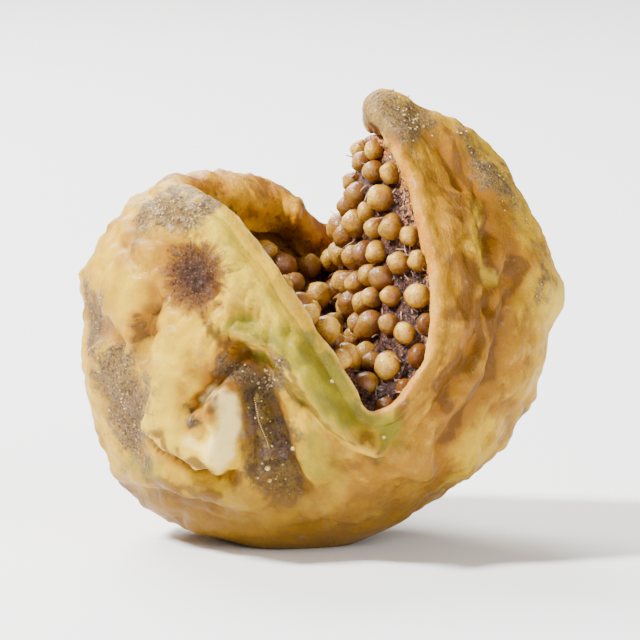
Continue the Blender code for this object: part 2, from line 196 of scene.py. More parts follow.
# The small folds and ridges that only the skin has, kept in the same way.
FRONT_CREASES = (
    (-0.80, 1.3, ((-8.5, 19.2), (-7.9, 17.4))),
    (0.45, 0.7, ((-5.6, 20.4), (-5.0, 17.6), (-5.4, 15.6))),
    (-0.75, 0.40, ((-11.3, 15.6), (-11.5, 13.8), (-11.2, 12.2))),
    (0.35, 0.50, ((-12.3, 15.0), (-12.5, 12.8))),
    (-0.45, 0.40, ((-7.6, 15.6), (-6.4, 14.2), (-5.2, 12.9))),
    (0.45, 0.60, ((-9.8, 14.4), (-8.8, 12.4), (-7.8, 10.4))),
    (-0.40, 0.35, ((-14.2, 15.0), (-13.2, 13.2), (-13.6, 11.4))),
    (-0.35, 0.40, ((-13.0, 20.2), (-11.4, 18.2), (-10.9, 16.2))),
    (-0.85, 0.38, ((-4.9, 13.3), (-6.2, 11.6), (-7.0, 10.2), (-8.2, 9.0))),
    (-0.90, 0.36, ((-10.9, 7.0), (-9.6, 5.8), (-8.0, 4.9), (-5.9, 4.5))),
    (0.50, 0.45, ((-10.6, 8.2), (-9.0, 6.8), (-7.2, 5.9))),
    (-0.60, 0.35, ((-12.0, 3.5), (-9.4, 2.9), (-6.4, 2.4))),
    (-0.50, 0.35, ((-4.6, 12.6), (-2.7, 12.2), (-1.4, 10.6), (0.0, 8.9), (2.0, 7.0), (5.0, 5.2))),
    (0.50, 0.50, ((-4.2, 14.2), (-2.2, 14.2), (0.0, 12.6), (1.6, 10.6), (3.2, 8.6))),
    (0.90, 0.55, ((-6.6, 9.6), (-6.1, 7.6), (-5.8, 5.6))),
    (-0.90, 0.60, ((-4.9, 10.4), (-4.6, 7.6), (-4.4, 5.0))),
    (-0.70, 0.45, ((-3.4, 10.6), (-2.6, 8.0), (-1.4, 5.0), (-0.4, 3.6))),
    (0.45, 0.35, ((-4.2, 9.4), (-3.7, 7.2), (-3.0, 5.4))),
    (-0.45, 0.30, ((9.0, 27.6), (9.8, 25.8), (10.4, 24.2))),
    (-0.35, 0.60, ((9.6, 17.6), (9.8, 15.8))),
    (0.30, 0.60, ((9.2, 14.4), (10.6, 14.2), (11.8, 15.0))),
    (-0.45, 0.35, ((12.2, 21.4), (12.4, 17.6), (11.6, 14.0), (9.6, 10.4), (7.4, 7.6))),
    (0.35, 0.45, ((12.9, 20.2), (12.6, 15.8), (11.2, 11.8), (8.8, 8.2))),
    (-0.45, 0.35, ((13.9, 20.4), (13.4, 14.6), (11.6, 9.8), (8.8, 6.4))),
    (-0.30, 0.35, ((7.6, 10.2), (6.0, 7.4), (4.0, 5.6))),
)
DEEPEST_FOLD = 1.85

# The wrinkles that run from the stalk end: their height, how many there are round the fig, how
# much they waver, and what share of the height is taken off. Crinkles are the smaller ones.
WRINKLES = (1.4, 14, 1.8, 0.45)
CRINKLES = ((0.62, 34, 5.0, 0.40), (0.24, 80, 16.0, 0.40))
WRINKLES_BEGIN = (0.16, 0.56)
SMOOTH_FRONT = 0.5
BEHIND = (0.0, 0.6)
CRINKLES_START = 7.0
LUMPS = (0.5, 2.6)

# Soft puckers: the height of each kind and how closely they follow each other.
CRUMPLES = ((0.30, 4.2), (0.12, 12.0))
CRUMPLES_SUNK = 0.4


def between(a, b, share):
    """The direction that lies this share of the way round from direction a to direction b."""
    angle = np.arccos(np.clip(np.sum(a * b, axis=-1, keepdims=True), -1, 1))
    return (np.sin((1 - share) * angle) * a + np.sin(share * angle) * b) / np.sin(angle)


def ease(x, begin, end):
    """A smooth change from 0, where x is at or before its beginning, to 1 at its end."""
    share = np.clip((x - begin) / (end - begin), 0, 1)
    return share * share * (3 - 2 * share)


def rough(spots):
    """Smooth noise from -1 to 1 at each spot."""
    flat = [noise.noise(Vector(spot)) for spot in spots.reshape(-1, 3)]
    return np.array(flat).reshape(spots.shape[:-1])


# The noise that moves points starts from the clock, unless it is given a seed.
SHAKES_SEED = 1
noise.seed_set(SHAKES_SEED)


def shaken(points, pitch, reach):
    """The points, each moved up to this far by noise of this many waves a millimetre."""
    moves = [noise.noise_vector(Vector(spot)) for spot in (pitch * points).reshape(-1, 3)]
    return points + reach * np.array(moves).reshape(points.shape)


def closed_spline(points, count):
    """A smooth closed curve through the points, read at count even steps."""
    step = np.arange(count) * len(points) / count
    at = step.astype(int)
    f = (step - at)[:, None]
    a, b, c, d = (points[(at + k) % len(points)] for k in (-1, 0, 1, 2))
    return b + 0.5 * f * (c - a + f * (2 * a - 5 * b + 4 * c - d + f * (3 * (b - c) + d - a)))


def steps_along(line):
    return np.linalg.norm(np.roll(line, -1, axis=0) - line, axis=1)


def plump_radius(ray):
    """The radius of the unsplit form along each ray."""
    radius = 1 / np.linalg.norm(ray / HALF_SIZES, axis=-1)
    for way, height, spread in SWELLINGS:
        radius = radius + height * np.exp((ray @ unit(way) - 1) / spread**2)
    return radius[..., None]


def from_stalk(ray):
    """How far each ray is from the stalk end, in radians, and its turn round it."""
    side = unit(np.cross(STALK_END, (0, 0, 1)))
    top = np.cross(side, STALK_END)
    return np.arccos(np.clip(ray @ STALK_END, -1, 1)), np.arctan2(ray @ top, ray @ side)


def stalk_stub(ray):
    height, half_width, spread = STALK
    polar, _ = from_stalk(ray)
    return (height * (1 - ease(polar, half_width, half_width + spread)))[..., None]


def in_front_view(points):
    """The x and the height at which points of the drawing show from the front."""
    return np.stack([points[..., 0], points @ UPWARD_IN_VIEW], axis=-1)


def drawn(spots, line, half_width, power=2):
    """1 on a line that is drawn in the front view, fading out past its half width."""
    nearest = np.full(spots.shape[:-1], np.inf)
    for start, end in zip(line[:-1], line[1:]):
        along = np.subtract(end, start)
        share = np.clip((spots - start) @ along / (along @ along), 0, 1)[..., None]
        nearest = np.minimum(nearest, np.linalg.norm(spots - start - share * along, axis=-1))
    return np.exp(-((nearest / half_width) ** power))


def front_relief(ray, radius, folds):
    """The height of the folds that show from the front."""
    spots = in_front_view(CENTRE + radius * ray)
    total = sum(height * drawn(spots, line, wide) for height, wide, line in folds)
    return (total * ease(ray @ TOWARD_CAMERA, *FACING_FRONT))[..., None]


def wrinkles(ray, kind, start=0.0):
    """The height of the wrinkles that run from the stalk end towards the split."""
    height, count, waver, sunk = kind
    polar, around = from_stalk(ray)
    reach = count / (2 * math.pi)
    spots = [reach * np.cos(around), reach * np.sin(around), waver * polar + start]
    share = SMOOTH_FRONT + (1 - SMOOTH_FRONT) * ease(ray[..., 1], *BEHIND)
    share = share * ease(polar, *WRINKLES_BEGIN)
    return (height * share * (2 * np.abs(rough(np.stack(spots, axis=-1))) - sunk))[..., None]


def lumps(ray):
    height, pitch = LUMPS
    return (height * rough(pitch * ray))[..., None]


def crumples(ray):
    """The height of the soft puckers that the skin has all over."""
    puckers = [height * (2 * np.abs(rough(pitch * ray)) - CRUMPLES_SUNK) for height, pitch in CRUMPLES]
    return sum(puckers)[..., None]


class Meridians:
    """Lines from the foot to the edge of the split, evenly spread between the edge and the girth.

    Heights come as rows by lines by one, and what is read at them has the same rows and lines.
    """

    def __init__(self, count):
        fine = closed_spline(RIM, RIM_STEPS * len(RIM))
        along = np.roll(fine[:, :3], -RIM_STEPS, axis=0) - np.roll(fine[:, :3], RIM_STEPS, axis=0)
        fine = np.hstack([fine, along])
        girth = between(FOOT, unit(fine[:, :3] - CENTRE), GIRTH)
        steps = sum(line / line.sum() for line in (steps_along(fine[:, :3]), steps_along(girth)))
        run = np.append(0, np.cumsum(steps))
        wanted = np.arange(count) * run[-1] / count
        looped = np.vstack([fine, fine[:1]])
        rows = np.stack([np.interp(wanted, run, column) for column in looped.T], axis=1)
        self.rim, self.lip, self.pulp_depth = rows[:, :3], rows[:, 3:4], rows[:, 4:5]
        along = rows[:, 5:]
        self.rim_ray = unit(self.rim - CENTRE)
        self.rim_radius = np.linalg.norm(self.rim - CENTRE, axis=1, keepdims=True)
        self.inward = unit(np.cross(self.rim_ray, along))
        self.lift = self.rim_radius - plump_radius(self.rim_ray)
        self.shoulder = self.ray_below(NEAR_RIM)
        self.far_length = MEAN_RADIUS * np.arccos(self.shoulder @ FOOT)[:, None]

    def ray_below(self, depth):
        """The direction of the point this far outside the edge, square to it."""
        angle = depth / self.rim_radius
        return unit(np.cos(angle) * self.rim_ray - np.sin(angle) * self.inward)

    def ray(self, height):
        far = between(FOOT, self.shoulder, np.clip(height, 0, 1))
        return np.where(height < 1, far, self.ray_below((2 - height) * NEAR_RIM))

    def height_of(self, depth):
        """The height of the point this far below the edge."""
        far = 1 - (depth - NEAR_RIM) / self.far_length
        return np.where(depth < NEAR_RIM, 2 - depth / NEAR_RIM, far)

    def body_radius(self, height):
        """The outer radius without folds, which meets the edge's own radius at the shoulder."""
        ray = self.ray(height)
        near = ease(height, *EDGE_LIFTS_BODY)
        return plump_radius(ray) + self.lift * near + lumps(ray) * (1 - near)

    def relief(self, height):
        """How far the folded skin stands above the body, or below it where it is negative."""
        ray = self.ray(height)
        body = self.body_radius(height)
        folds = wrinkles(ray, WRINKLES) * (1 - ease(height, *WRINKLES_FADE))
        folds = (folds + front_relief(ray, body, FRONT_FOLDS)) * (1 - ease(height, *FOLDS_FADE))
        small = crumples(ray) + sum(wrinkles(ray, kind, CRINKLES_START) for kind in CRINKLES)
        small = (small + front_relief(ray, body, FRONT_CREASES)) * (1 - ease(height, *CRINKLES_FADE))
        return np.maximum(folds + small, -DEEPEST_FOLD) * ease(ray[..., 2:], *FOOT_SMOOTH)

    def outer_radius(self, height):
        return self.body_radius(height) + self.relief(height) + stalk_stub(self.ray(height))

    def inner_radius(self, height):
        turn = self.height_of(self.lip / 2)
        thick = WALL + (self.lip - WALL) * ease(height, THICKENS_FROM, turn)
        return self.body_radius(height) - thick

    def points(self, radius, height):
        return CENTRE + radius(height) * self.ray(height)

    def turned_edge(self, depth, thickness, radius, turns):
        """The half round, this thick, that turns an outer surface over and down the inside."""
        height = self.height_of(depth + thickness / 2) + 0 * turns[:, None, None]
        ray = self.ray(height)
        up = unit(self.inward - np.sum(self.inward * ray, axis=-1, keepdims=True) * ray)
        angle = math.pi * turns[:, None, None]
        middle = CENTRE + (radius(height) - thickness / 2) * ray
        return middle + thickness / 2 * (np.cos(angle) * ray + np.sin(angle) * up)


def closed_mesh(name, points, first_end, last_end):
    """A closed mesh on rows of points round the fig, with an end point to close each end."""
    rows, columns, _ = points.shape
    spots = np.vstack([points.reshape(-1, 3), first_end, last_end]) - MIDDLE
    ring = np.arange(rows * columns).reshape(rows, columns)
    beside = np.roll(ring, -1, axis=1)
    quads = np.stack([ring[:-1], beside[:-1], beside[1:], ring[1:]], axis=-1).reshape(-1, 4)
    first = np.full(columns, rows * columns)
    caps = [np.stack([beside[0], ring[0], first], axis=-1)]
    caps.append(np.stack([ring[-1], beside[-1], first + 1], axis=-1))
    mesh = bpy.data.meshes.new(name)
    mesh.from_pydata((MM * spots).tolist(), [], quads.tolist() + np.vstack(caps).tolist())
    mesh.shade_smooth()
    return mesh


def note(mesh, name, rows, ends=(0, 0)):
    """Keeps a number for each point of a closed mesh, for its material to read."""
    kept = mesh.attributes.new(name, "FLOAT", "POINT")
    kept.data.foreach_set("value", np.append(rows.ravel(), ends).astype(np.float32))


def as_piece(mesh, material):
    made = placed(mesh.name, mesh)
    mesh.materials.append(material)
    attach(made, "root")
    return made


WALL_LINES = 360
OUTSIDE_ROWS, SHOULDER_ROWS, LIP_ROWS, INSIDE_ROWS = 130, 20, 16, 50
wall_lines = Meridians(WALL_LINES)
lip_height = wall_lines.height_of(wall_lines.lip / 2)
every_line = np.zeros((1, WALL_LINES, 1))
outside = np.linspace(0, 1, OUTSIDE_ROWS + 1)[1:-1, None, None] + every_line
shoulder = 1 + (lip_height - 1) * np.linspace(0, 1, SHOULDER_ROWS + 1)[:-1, None, None]
outer_height = np.concatenate([outside, shoulder])
outer_ray = wall_lines.ray(outer_height)
outer_relief = wall_lines.relief(outer_height)[..., 0]
outer_points = wall_lines.points(wall_lines.outer_radius, outer_height)
lip_turns = np.linspace(0, 1, LIP_ROWS + 1)[:-1]
lip_points = wall_lines.turned_edge(0, wall_lines.lip, wall_lines.outer_radius, lip_turns)
inner_height = lip_height * np.linspace(1, 0, INSIDE_ROWS + 1)[:-1, None, None]
inner_points = wall_lines.points(wall_lines.inner_radius, inner_height)

# The torn edge is uneven, and the roll of the left lobe's back is lumpy.
TEAR = (0.55, 0.30)
FRAY = (2.4, 0.07)
TEARS_OUTSIDE, TEARS_INSIDE = (1.5, 2.0), (0.9, 1.3)
ROLL_LUMPS = (
    (1.2, 0.9, ((-1.0, 22.6), (-0.2, 20.8))),
    (-1.2, 0.7, ((-3.1, 21.4), (-1.9, 20.4))),
    (1.1, 0.8, ((-1.9, 19.4), (0.2, 18.6))),
    (0.9, 0.9, ((-5.2, 23.9), (-3.4, 23.0))),
    (-0.7, 0.5, ((-3.2, 24.2), (-2.6, 22.4))),
)
edge_share = ease(outer_height, *TEARS_OUTSIDE)
outer_points = outer_points + edge_share * (shaken(outer_points, *TEAR) - outer_points)
lip_points = shaken(shaken(lip_points, *TEAR), *FRAY)
inner_share = ease(inner_height, *TEARS_INSIDE)
torn_inside = shaken(shaken(inner_points, *TEAR), *FRAY)
inner_points = inner_points + inner_share * (torn_inside - inner_points)
roll_points = np.concatenate([lip_points, inner_points])
roll_spots = in_front_view(roll_points)
roll_height = sum(height * drawn(roll_spots, line, wide) for height, wide, line in ROLL_LUMPS)
roll_height = roll_height * (roll_points[..., 1] > 0)
roll_points = roll_points + roll_height[..., None] * TOWARD_CAMERA
wall_points = np.concatenate([outer_points, roll_points])
wall_points[..., 2] = np.maximum(wall_points[..., 2], 0)
foot_top = CENTRE + (plump_radius(FOOT) - WALL) * FOOT
wall_mesh = closed_mesh("wall_skin", wall_points, (foot_top[0], foot_top[1], 0), foot_top)

# What marks the skin, by the lines in the front view that each mark follows, with its half width and
# strength there. Most are stains, but the groove lines are painted shade in the creases, the orange is
# partly painted shade along creases, and the gold is partly painted shade on the right lobe's lower
# right. Its outline wanders, because its place is read from shaken points.
STAINS_AND_SHADE = {
    "mould": (
        ((-11.4, 21.6), (-6.4, 23.9), 1.4, 1.0),
        ((-13.2, 11.4), (-12.6, 7.2), 1.8, 1.0),
        ((-12.6, 6.6), (-11.6, 5.0), 1.4, 0.7),
        ((-16.0, 16.8), (-14.9, 13.6), 1.3, 1.0),
        ((3.4, 30.6), (6.8, 28.6), 1.8, 1.0),
        ((-5.4, 11.6), (-2.6, 11.4), 0.8, 0.9),
        ((10.4, 28.2), (14.4, 23.0), 1.1, 1.0),
        ((14.8, 22.4), (15.8, 16.4), 0.8, 0.8),
    ),
    "brown": (
        ((-4.1, 10.6), (-3.4, 7.4), 1.4, 1.0),
        ((-3.4, 7.4), (-2.0, 4.2), 1.7, 1.0),
        ((-8.5, 8.5), (-8.3, 8.2), 0.5, 0.9),
        ((-15.9, 16.8), (-15.0, 13.6), 0.9, 0.8),
        ((10.6, 28.0), (14.4, 24.2), 0.8, 0.7),
        ((-11.4, 15.4), (-11.3, 13.6), 0.4, 0.6),
    ),
    # The orange is partly the skin's own orange streaks and partly painted shade along the creases.
    "orange": (
        ((-12.4, 20.6), (-10.2, 18.8), 1.6, 0.7),
        ((-11.2, 15.6), (-11.3, 12.4), 0.9, 1.0),
        ((-5.2, 13.2), (-6.8, 10.6), 1.0, 1.0),
        ((-6.8, 10.6), (-8.4, 8.0), 0.8, 0.9),
        ((9.0, 27.9), (10.4, 24.4), 0.8, 1.0),
        ((9.4, 23.4), (9.6, 21.4), 1.0, 0.8),
        ((9.9, 18.2), (10.0, 15.6), 1.2, 0.9),
        ((12.0, 24.6), (12.6, 19.0), 0.6, 0.9),
        ((12.4, 19.0), (8.6, 9.0), 0.7, 1.0),
        ((13.8, 19.0), (9.6, 7.6), 0.9, 0.8),
        ((1.5, 9.2), (3.6, 6.9), 1.0, 0.6),
        ((3.6, 6.9), (8.4, 5.0), 1.3, 0.8),
    ),
    "green": (
        ((-5.0, 14.4), (-2.4, 13.8), 0.9, 0.9),
        ((-2.4, 13.6), (0.0, 12.0), 1.7, 1.0),
        ((0.0, 12.0), (2.0, 9.4), 1.7, 1.0),
        ((2.0, 9.4), (5.2, 7.2), 1.6, 0.8),
        ((-0.6, 7.4), (1.2, 4.4), 1.0, 0.6),
        ((-6.8, 21.6), (-3.0, 15.6), 1.6, 0.45),
        ((-13.0, 4.6), (-10.8, 4.0), 1.1, 0.8),
    ),
    "dark_green": (
        ((0.0, 13.4), (1.9, 11.6), 0.9, 1.0),
        ((-4.4, 13.8), (-2.4, 12.8), 0.5, 0.7),
        ((1.6, 10.0), (3.2, 8.0), 0.7, 0.8),
    ),
    "cream": (
        ((-9.4, 7.0), (-6.2, 5.2), 0.7, 0.8),
        ((-10.6, 12.6), (-10.2, 7.6), 0.9, 0.7),
        ((-6.6, 21.8), (-2.8, 15.4), 1.1, 0.7),
        ((-12.8, 17.6), (-10.4, 21.6), 1.3, 0.4),
        ((5.0, 8.2), (4.0, 6.9), 0.6, 0.8),
        ((-5.0, 14.3), (-2.6, 14.3), 0.4, 0.8),
        ((11.2, 22.6), (11.6, 17.6), 0.6, 0.6),
    ),
    "white": (
        ((-6.5, 9.6), (-6.0, 5.8), 0.8, 1.0),
        ((-8.4, 6.6), (-6.2, 5.6), 0.5, 0.7),
    ),
    # Painted shade: dark lines drawn along the creases.
    "groove_shade": (
        ((9.1, 27.5), (10.3, 24.8), 0.40, 1.0),
        ((10.3, 24.8), (10.9, 22.6), 0.30, 0.9),
        ((9.2, 23.2), (9.4, 21.6), 0.80, 0.8),
        ((9.9, 18.4), (10.1, 15.6), 0.90, 1.0),
        ((11.8, 22.8), (12.3, 19.6), 0.40, 0.9),
        ((12.3, 19.6), (11.2, 14.8), 0.35, 1.0),
        ((11.2, 14.8), (8.8, 9.6), 0.40, 1.0),
        ((13.4, 18.4), (11.6, 11.4), 0.45, 0.9),
        ((11.6, 11.4), (8.8, 6.8), 0.50, 0.9),
        ((6.6, 9.0), (4.6, 6.2), 0.35, 0.7),
        ((-11.2, 15.8), (-11.5, 12.6), 0.35, 0.9),
        ((-5.0, 12.9), (-7.6, 9.4), 0.35, 0.9),
        ((-7.6, 15.8), (-5.6, 13.4), 0.35, 0.7),
        ((-10.6, 6.8), (-8.0, 4.9), 0.30, 1.0),
        ((-8.0, 4.9), (-4.6, 4.3), 0.30, 1.0),
        ((-11.8, 3.5), (-6.4, 2.4), 0.35, 0.9),
        ((-4.4, 13.0), (-2.2, 11.8), 0.30, 0.8),
        ((-2.2, 11.8), (1.2, 7.8), 0.30, 0.8),
        ((1.2, 7.8), (4.8, 5.6), 0.35, 0.7),
    ),
    # The gold is the right lobe's own deeper tone, and on its lower right it also stands in for painted
    # shade.
    "gold": (
        ((8.8, 27.0), (11.4, 13.0), 4.6, 1.0),
        ((11.4, 13.0), (4.6, 4.6), 3.8, 1.0),
    ),
    "bleached": (
        ((-0.6, 18.6), (1.6, 14.6), 0.7, 1.0),
        ((-2.4, 20.8), (-0.6, 18.6), 0.5, 0.7),
    ),
}
WANDERINGS = ((0.30, 1.3), (1.1, 0.6))
# The heights over which the painted shade of the underside fades: the skin is painted darker towards
# the bottom.
UNDERSIDE_SHADE_HEIGHTS = (1.5, 9.5)
wandered = wall_points
for pitch, reach in WANDERINGS:
    wandered = shaken(wandered, pitch, reach)
wall_spots = in_front_view(wandered)
outside_faces = ease(outer_ray @ TOWARD_CAMERA, *FACING_FRONT)
facing = np.concatenate([outside_faces, np.ones(roll_points.shape[:2])])
marked = {}
for stain_or_shade, places in STAINS_AND_SHADE.items():
    marks = [strength * drawn(wall_spots, (a, b), wide) for a, b, wide, strength in places]
    marked[stain_or_shade] = np.max(marks, axis=0) * facing
    note(wall_mesh, stain_or_shade, marked[stain_or_shade])
# Painted shade: darker towards the bottom.
note(wall_mesh, "underside_shade", 1 - ease(wall_points[..., 2], *UNDERSIDE_SHADE_HEIGHTS))

# The pit has a fibrous outline: its strands run straight out from its middle.
PIT_MIDDLE = np.array((-7.9, 18.0))
PIT_HALF_SIZES = np.array((2.6, 2.9))
PIT_STRANDS_VARY = 0.35
pit_offset = (in_front_view(wall_points) - PIT_MIDDLE) / PIT_HALF_SIZES
pit_reach = np.linalg.norm(pit_offset, axis=-1)
note(wall_mesh, "pit", (1 - pit_reach).clip(-1, 1) * facing - (1 - facing))
pit_reach = pit_reach[..., None]
pit_strand = np.concatenate([pit_offset / pit_reach, PIT_STRANDS_VARY * pit_reach], axis=-1)

# How far each point lies in a crease, how far it has turned over the lip and inside, and whether
# it is on the roll of the left lobe's back. The skin's fibres run round, parallel to the split.
ROLL_ENDS = 1.5
STRANDS_REACH = 3.0
STRANDS_ACROSS = 9.0
STRANDS_ON_LIP = 0.2
roll_rows = np.concatenate([lip_turns, np.full(INSIDE_ROWS, 1.0)])[:, None] + every_line[..., 0]
note(wall_mesh, "crease", np.concatenate([-outer_relief, np.zeros(roll_rows.shape)]))
note(wall_mesh, "turned", np.concatenate([np.zeros(outer_relief.shape), roll_rows]))
note(wall_mesh, "front", facing)
on_roll = (roll_points[..., 1] > 0) * (roll_points[..., 0] < ROLL_ENDS)
note(wall_mesh, "roll", np.concatenate([np.zeros(outer_relief.shape), on_roll]))
line_turns = 2 * math.pi * np.arange(WALL_LINES) / WALL_LINES
run_up = np.concatenate([outer_height[..., 0], 2 + roll_rows * STRANDS_ON_LIP])
run_round = [STRANDS_REACH * wave(line_turns) + 0 * run_up for wave in (np.cos, np.sin)]
strand_rows = np.stack([*run_round, STRANDS_ACROSS * run_up], axis=-1)
for name, rows in (("strand", strand_rows), ("pit_strand", pit_strand)):
    places = wall_mesh.attributes.new(name, "FLOAT_VECTOR", "POINT")
    places.data.foreach_set("vector", np.append(rows.ravel(), np.zeros(6)).astype(np.float32))


class Wire:
    """A number, a colour or a place on its way through a material's nodes."""

    def __init__(self, tree, socket=None):
        self.tree, self.socket = tree, socket

    def node(self, kind, settings=None, plugs=None, output=0):
        """Another node of this kind, with its settings made first and then its sockets filled."""
        made = self.tree.nodes.new(kind)
        for name, value in (settings or {}).items():
            setattr(made, name, value)
        for name, value in (plugs or {}).items():
            if isinstance(value, Wire):
                self.tree.links.new(value.socket, made.inputs[name])
            elif isinstance(value, tuple) and made.inputs[name].type == "RGBA":
                made.inputs[name].default_value = (*value, 1)
            else:
                made.inputs[name].default_value = value
        return Wire(self.tree, made.outputs[output])

    def maths(self, operation, a, b):
        return self.node("ShaderNodeMath", {"operation": operation}, {0: a, 1: b})

    def __add__(self, other):
        return self.maths("ADD", self, other)

    def __sub__(self, other):
        return self.maths("SUBTRACT", self, other)

    def __mul__(self, other):
        return self.maths("MULTIPLY", self, other)

    def __rsub__(self, other):
        return self.maths("SUBTRACT", other, self)

    __radd__, __rmul__ = __add__, __mul__

    def between(self, begin, end):
        """A smooth change from 0 at its beginning to 1 at its end."""
        plugs = {"Value": self, "From Min": begin, "From Max": end}
        return self.node("ShaderNodeMapRange", {"interpolation_type": "SMOOTHSTEP"}, plugs)

    def blend(self, first, second, share):
        """The first colour with this share of the second one in it."""
        plugs = {0: share, 6: first, 7: second}
        return self.node("ShaderNodeMix", {"data_type": "RGBA"}, plugs, output=2)

    def under(self, layers):
        """This colour with layers over it, each a colour and the share that it covers: pigment, or
        painted light and shade.
        """
        tone = self
        for layer_colour, share in layers:
            tone = tone.blend(tone, layer_colour, share)
        return tone

    def kept(self, name, output="Fac"):
        """A number that the mesh keeps for each point, or with output Vector a place."""
        return self.node("ShaderNodeAttribute", {"attribute_name": name}, output=output)

    def ragged(self, name, torn_by, reach=0.7, fade=0.3):
        """A stain or painted shade that the mesh keeps, its edge torn by a cloud."""
        torn = self.kept(name) + (torn_by - 0.5) * reach
        return torn.between(0.5 - fade, 0.5 + fade)

    def cloud(self, place, waves, detail=2.0, roughness=0.5):
        """Noise from 0 to 1, of this many waves a millimetre."""
        plugs = {"Vector": place, "Scale": waves, "Detail": detail, "Roughness": roughness}
        return self.node("ShaderNodeTexNoise", plugs=plugs)

    def specks(self, place, cells, reach):
        """Round specks, one to a cell and 1 in its middle, with this many cells a millimetre."""
        far = self.node("ShaderNodeTexVoronoi", plugs={"Vector": place, "Scale": cells})
        return 1 - far.between(0.0, reach)


def new_material(name, constants):
    """A material with its constants set, its shader, its first wire, and places in millimetres."""
    material = bpy.data.materials.new(name)
    material.use_nodes = True
    shader = material.node_tree.nodes["Principled BSDF"]
    for socket, value in constants.items():
        shader.inputs[socket].default_value = value
    start = Wire(material.node_tree)
    metres = start.node("ShaderNodeTexCoord", output="Object")
    plugs = {0: metres, "Scale": 1 / MM}
    place = start.node("ShaderNodeVectorMath", {"operation": "SCALE"}, plugs)
    return material, shader, start, place


def finish_shader(wire, shader, colour, roughness, bump, depth):
    """Puts a colour, a roughness and a bump of this depth in millimetres on a shader."""
    plugs = {"Height": bump, "Distance": depth * MM, "Strength": 1.0}
    normal = wire.node("ShaderNodeBump", plugs=plugs)
    for name, value in (("Base Color", colour), ("Roughness", roughness), ("Normal", normal)):
        wire.tree.links.new(value.socket, shader.inputs[name])


SKIN_FINISH = {
    "Subsurface Weight": 0.06,
    "Subsurface Radius": (1.0, 0.45, 0.15),
    "Subsurface Scale": 1.2 * MM,
    "Specular IOR Level": 0.12,
    "Coat Weight": 0.08,
    "Coat Roughness": 0.28,
}
SKIN_BUMP = 0.42
YELLOW, BRIGHT_YELLOW, OCHRE = (0.50, 0.28, 0.002), (0.62, 0.38, 0.004), (0.40, 0.19, 0.002)
GOLD, LIGHT_GOLD, DARK_GOLD = (0.31, 0.132, 0.002), (0.54, 0.285, 0.005), (0.19, 0.075, 0.002)
# The ridge colour is a painted highlight on ridges, and the crease, deep crease and groove colours are
# painted shade in creases.
FIBRE_BROWN, PALE_THREAD, RIDGE_HIGHLIGHT = (0.22, 0.095, 0.002), (0.74, 0.46, 0.02), (0.78, 0.50, 0.03)
CREASE_SHADE, DEEP_CREASE_SHADE, GROOVE_SHADE = (0.25, 0.095, 0.002), (0.075, 0.025, 0.004), (0.11, 0.042, 0.003)
ORANGE, CREAM, WHITE = (0.30, 0.11, 0.003), (0.72, 0.48, 0.02), (0.85, 0.66, 0.24)
# The underside colour is painted shade, darker towards the bottom.
GREEN, DARK_GREEN, PAINTED_UNDERSIDE_SHADE = (0.213, 0.182, 0.003), (0.13, 0.105, 0.008), (0.16, 0.07, 0.004)
OLIVE_BROWN, DARK_BROWN, LILAC = (0.136, 0.086, 0.020), (0.061, 0.034, 0.018), (0.142, 0.087, 0.070)
BLACK_BROWN, SUGAR_GRAIN = (0.025, 0.011, 0.007), (0.521, 0.411, 0.019)
PIT_EDGE, PIT_MAUVE, PIT_PINK = (0.193, 0.071, 0.009), (0.047, 0.022, 0.015), (0.187, 0.084, 0.049)
PIT_BLACK, PIT_CRUMB = (0.025, 0.010, 0.006), (0.36, 0.21, 0.10)
MOULD, DARK_MOULD, MOULD_CRUMB = (0.17, 0.105, 0.045), (0.06, 0.036, 0.020), (0.42, 0.30, 0.14)
RIM_CREAM, RIM_GOLD, RIM_ORANGE = (0.80, 0.56, 0.10), (0.484, 0.196, 0.003), (0.662, 0.214, 0.003)
RIM_PINK, RIM_FLECK = (0.75, 0.55, 0.36), (0.85, 0.70, 0.56)
FLESH, DARK_FLESH = (0.318, 0.117, 0.017), (0.11, 0.038, 0.016)
ROLL_GOLD, ROLL_ORANGE, ROLL_MAUVE = (0.495, 0.232, 0.003), (0.306, 0.112, 0.003), (0.079, 0.034, 0.020)

dried_skin, skin_shader, skin, skin_at = new_material("dried_skin", SKIN_FINISH)
strand, pit_way = skin.kept("strand", "Vector"), skin.kept("pit_strand", "Vector")
broad = skin.cloud(skin_at, 0.16, 3.0)
patchy = skin.cloud(skin_at, 0.42, 4.0, 0.6)
mottle = skin.cloud(skin_at, 1.3, 5.0, 0.65)
speckle = skin.cloud(skin_at, 4.5, 3.0, 0.7)
grain = skin.cloud(skin_at, 9.0, 2.0, 0.6)
fibre = skin.cloud(strand, 1.2, 4.0, 0.6)
thread = skin.cloud(strand, 4.0, 3.0, 0.6)
radial = skin.cloud(pit_way, 4.0, 4.0, 0.7)
sparks = skin.specks(skin_at, 2.2, 0.36)
crumbs = skin.specks(skin_at, 4.0, 0.40)
crease, turned = skin.kept("crease"), skin.kept("turned")
gold = skin.ragged("gold", patchy)
groove_shade_mask = (skin.kept("groove_shade") + (mottle - 0.5) * 0.5).between(0.10, 0.65)
behind = (1 - skin.kept("front")) * patchy.between(0.54, 0.68) * mottle.between(0.40, 0.60)
browned = skin.maths("MAXIMUM", skin.ragged("brown", mottle, 1.1, 0.35), behind)
below = (skin.kept("underside_shade") + (patchy - 0.5) * 0.8).between(0.1, 1.0)
pit = (skin.kept("pit") + (radial - 0.5) * 1.3 + (mottle - 0.5) * 0.6).between(0.0, 0.45)
pit_core = (skin.kept("pit") + (radial - 0.5) * 1.2).between(0.25, 0.9)
mouldy = skin.ragged("mould", mottle, 1.2, 0.35)

